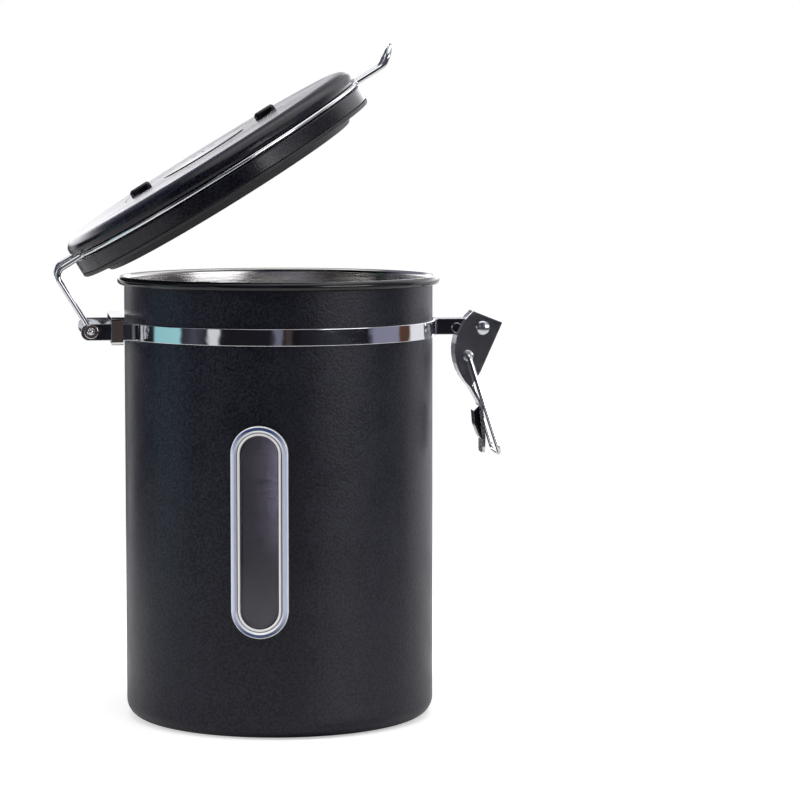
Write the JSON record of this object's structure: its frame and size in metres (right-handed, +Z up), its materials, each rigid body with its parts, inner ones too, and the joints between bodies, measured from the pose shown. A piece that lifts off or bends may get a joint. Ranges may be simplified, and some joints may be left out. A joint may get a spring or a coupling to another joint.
{
  "type": "coffee canister",
  "caption": "Tall cylindrical food canister with a rounded base, a clear side window and a wire-hinged clamp lid with a date ring, a gas valve and an over-centre bail latch.",
  "frame": {"origin": "centre of the flat underside of the shell", "axes": "+Z up along the shell's axis, +X towards the latch, -X towards the hinge, -Y towards the front; the lid is stored open by 31.7 degrees"},
  "size_m": [0.1741, 0.129, 0.2618],
  "materials": {
    "black_coat": "matt black coating on steel sheet",
    "chrome": "bright polished",
    "steel": "plain turned",
    "black_plastic": "satin moulded",
    "gloss_black": "glossy moulded",
    "clear_plastic": "clear moulded plastic with a raised rounded rim",
    "silicone": "soft black silicone",
    "clear_silicone": "milky clear silicone",
    "filter_paper": "felted fibre"
  },
  "bodies": {
    "canister": {"canister_shell": "black_coat", "window_pane": "clear_plastic", "window_gasket": "clear_silicone", "window_frame": "clear_plastic", "strap_front": "chrome", "strap_rear": "chrome", "hinge_keeper": "chrome", "eyelet_front": "chrome", "eyelet_rear": "chrome", "lug_rivet": "chrome", "lug_spacer": "steel", "lever_spacer": "steel"},
    "lid": {"lid_cover": "black_plastic", "lid_base": "black_plastic", "seal_gasket": "silicone", "lid_wire": "chrome", "valve_cap": "gloss_black", "valve_body": "black_plastic", "valve_retainer": "steel", "valve_filter": "filter_paper"},
    "dial": {"date_ring": "black_plastic"},
    "valve": {"valve_disc": "silicone"},
    "lever": {"latch_lever": "chrome", "lever_rivet": "chrome", "thumb_pad": "gloss_black"},
    "bail": {"latch_bail": "chrome"}
  },
  "joints": [
    {"name": "lid_hinge", "type": "hinge", "parent": "canister", "child": "lid", "pos_m": [-0.0735, 0, 0.1518], "axis": [0, -1, 0], "range_deg": [-31.7, 148.3]},
    {"name": "date_ring_turn", "type": "hinge", "parent": "lid", "child": "dial", "pos_m": [-0.02473, 0, 0.21271], "axis": [-0.5255, 0, 0.8508], "continuous": true},
    {"name": "valve_lift", "type": "slide", "parent": "lid", "child": "valve", "axis": [-0.5255, 0, 0.8508], "range_m": [0, 0.0006]},
    {"name": "latch_lever_pivot", "type": "hinge", "parent": "canister", "child": "lever", "pos_m": [0.0796, 0, 0.151], "axis": [0, -1, 0], "range_deg": [0, 150]},
    {"name": "latch_bail_pivot", "type": "hinge", "parent": "lever", "child": "bail", "pos_m": [0.07385, 0, 0.1402], "axis": [0, 1, 0], "range_deg": [-161, 5]}
  ]
}
